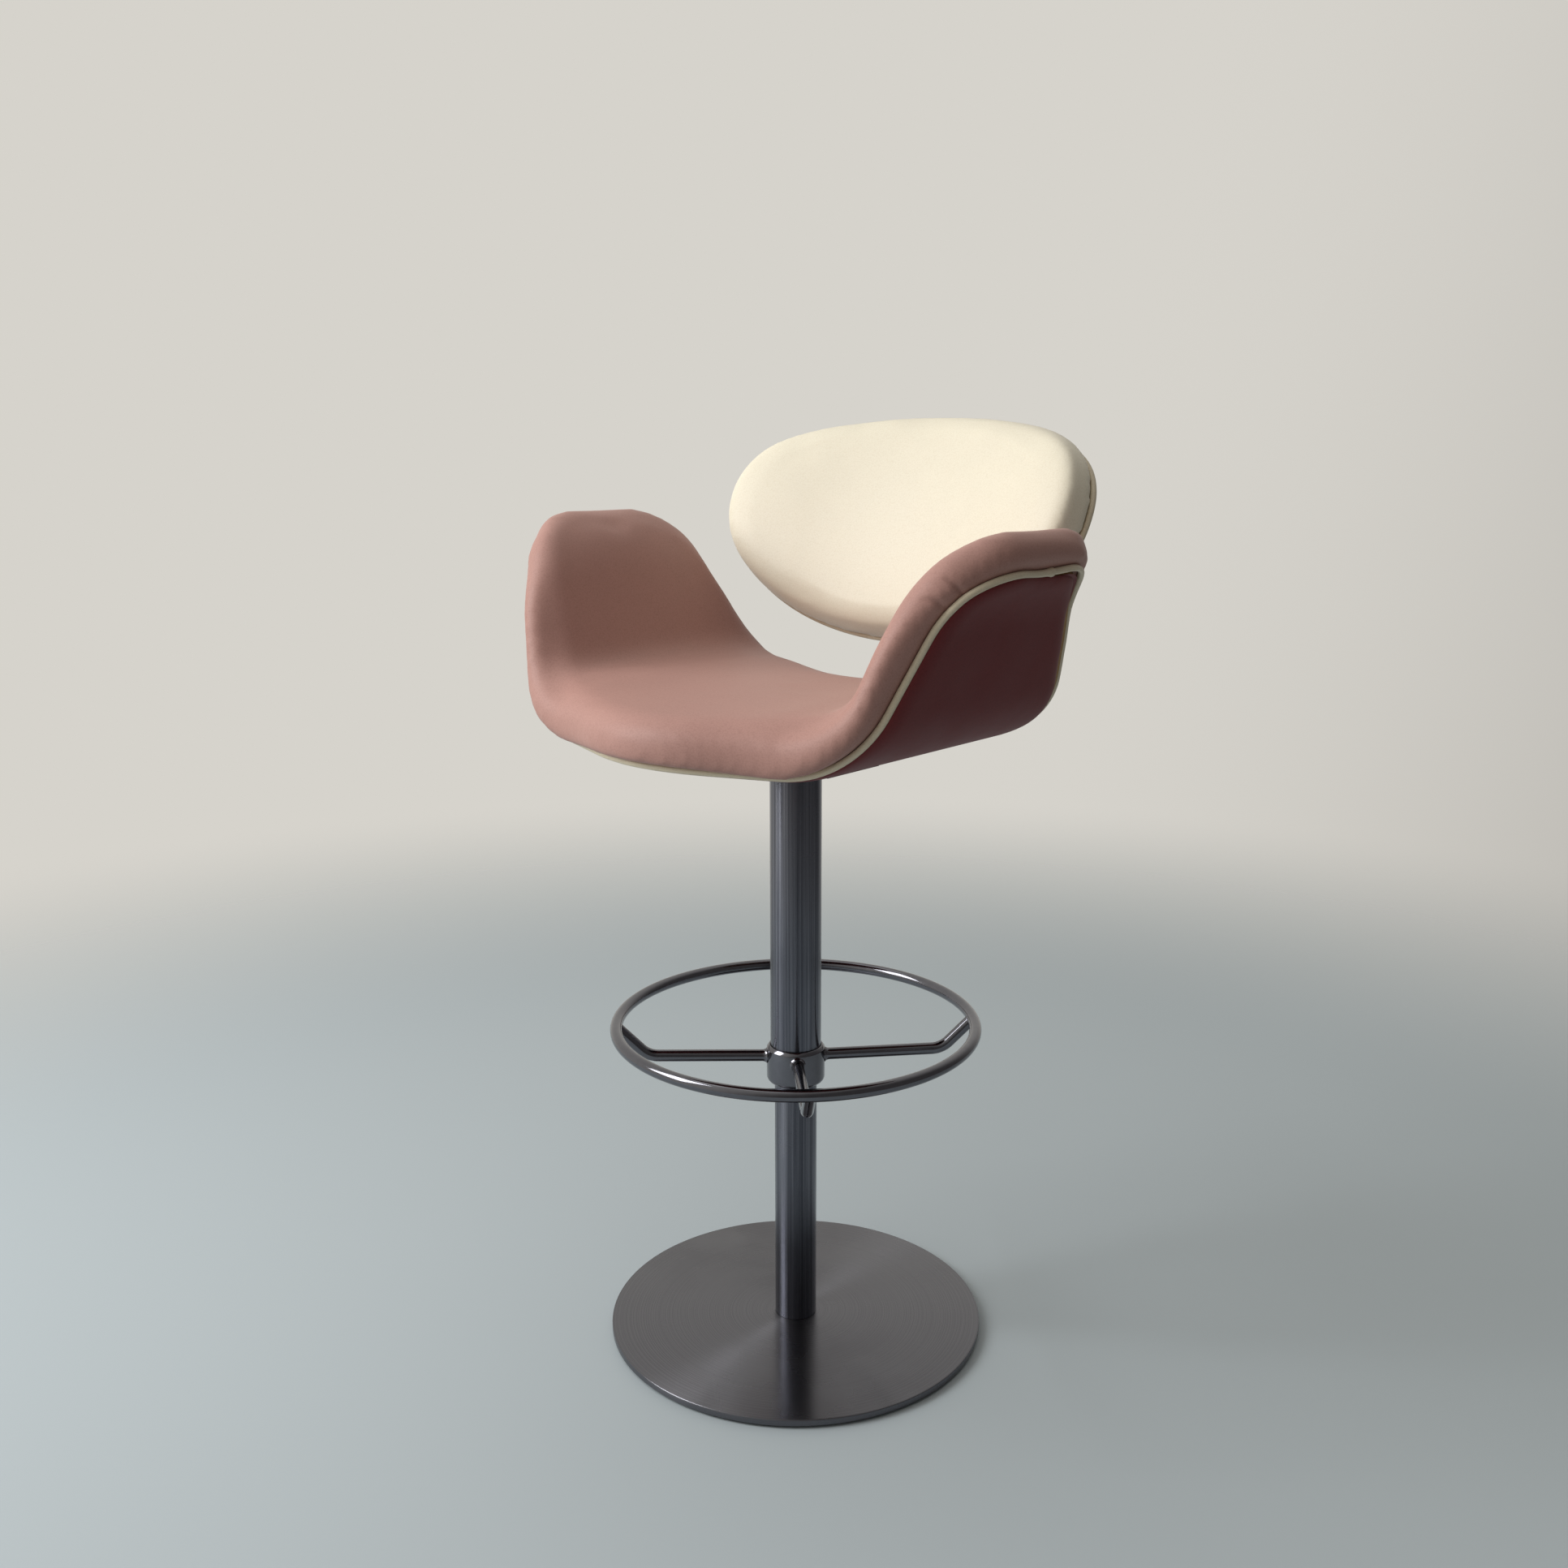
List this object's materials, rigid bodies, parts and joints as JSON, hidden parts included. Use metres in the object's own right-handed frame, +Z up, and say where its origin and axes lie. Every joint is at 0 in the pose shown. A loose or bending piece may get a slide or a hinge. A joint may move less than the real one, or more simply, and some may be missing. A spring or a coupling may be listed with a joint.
{
  "type": "counter stool",
  "caption": "Swivelling, height-adjustable counter stool with a bent petal seat forming both arms, a separate back pad, a ring footrest and a disc base.",
  "frame": {"origin": "centre of the floor pad's underside, on the floor and on the column's axis", "axes": "+Z up along the column, the sitter faces -Y, +X is the sitter's left hand side"},
  "size_m": [0.6688, 0.561, 1.0864],
  "materials": {
    "disc_steel": "satin",
    "tube_steel": "satin",
    "footrest_steel": "gloss",
    "zinc_steel": "satin",
    "black_steel": "satin",
    "black_rubber": "matte",
    "black_nylon": "satin",
    "plywood": "matte",
    "seat_pad": "satin",
    "back_pad": "satin",
    "burgundy_leather": "satin",
    "cream_leather": "satin"
  },
  "bodies": {
    "base": {"base_plate": "disc_steel", "floor_glide_ring": "black_rubber", "centre_floor_pad": "black_rubber", "foot_bolt_1": "zinc_steel", "foot_bolt_2": "zinc_steel", "foot_bolt_3": "zinc_steel", "column_foot_plug": "zinc_steel", "column_tube": "tube_steel", "cylinder_guide": "black_nylon", "column_top_bush": "black_nylon", "bearing_lower_washer": "zinc_steel", "bearing_cage": "black_nylon", "bearing_ball_1": "zinc_steel", "bearing_ball_2": "zinc_steel", "bearing_ball_3": "zinc_steel", "bearing_ball_4": "zinc_steel", "bearing_ball_5": "zinc_steel", "bearing_ball_6": "zinc_steel"},
    "rod": {"piston_rod": "footrest_steel", "rod_clip": "zinc_steel", "piston": "black_nylon", "bearing_upper_washer": "zinc_steel"},
    "carriage": {"back_cushion": "back_pad", "back_outer_cover": "burgundy_leather", "back_piping": "cream_leather", "back_screw_1": "zinc_steel", "back_screw_2": "zinc_steel", "back_shell": "plywood", "back_spine": "black_steel", "footrest_collar": "footrest_steel", "footrest_ring": "footrest_steel", "footrest_spoke_1": "footrest_steel", "footrest_spoke_2": "footrest_steel", "footrest_spoke_3": "footrest_steel", "footrest_spoke_4": "footrest_steel", "gas_cylinder": "black_steel", "lever_pivot_pin": "zinc_steel", "mechanism_housing": "black_steel", "seat_cushion": "seat_pad", "seat_outer_cover": "burgundy_leather", "seat_piping": "cream_leather", "seat_plate": "black_steel", "seat_screw_1": "zinc_steel", "seat_screw_2": "zinc_steel", "seat_screw_3": "zinc_steel", "seat_screw_4": "zinc_steel", "seat_shell": "plywood", "spine_bolt_1": "zinc_steel", "spine_bolt_2": "zinc_steel", "spine_sleeve": "burgundy_leather", "t_nut_1": "zinc_steel", "t_nut_2": "zinc_steel", "t_nut_3": "zinc_steel", "t_nut_4": "zinc_steel", "taper_socket": "black_steel", "tube_end_bush": "black_nylon", "upper_tube": "tube_steel"},
    "lever": {"release_lever": "footrest_steel", "lever_grip": "black_nylon"},
    "release_button": {"release_pin": "zinc_steel"}
  },
  "joints": [
    {"name": "swivel", "type": "hinge", "parent": "base", "child": "rod", "pos_m": [0, 0, 0.0367], "axis": [0, 0, 1], "continuous": true},
    {"name": "lift", "type": "slide", "parent": "rod", "child": "carriage", "axis": [0, 0, 1], "range_m": [-0.2, 0]},
    {"name": "lever_tilt", "type": "hinge", "parent": "carriage", "child": "lever", "pos_m": [-0.036, 0, 0.7173], "axis": [0, 1, 0], "range_deg": [0, 5], "stiffness_Nm_per_rad": 3, "springref_deg": -2.86},
    {"name": "valve_travel", "type": "slide", "parent": "carriage", "child": "release_button", "axis": [0, 0, 1], "range_m": [-0.0036, 0]}
  ],
  "couplings": [
    {"joint": "valve_travel", "follows": "lever_tilt", "m_per_rad": -0.04}
  ]
}
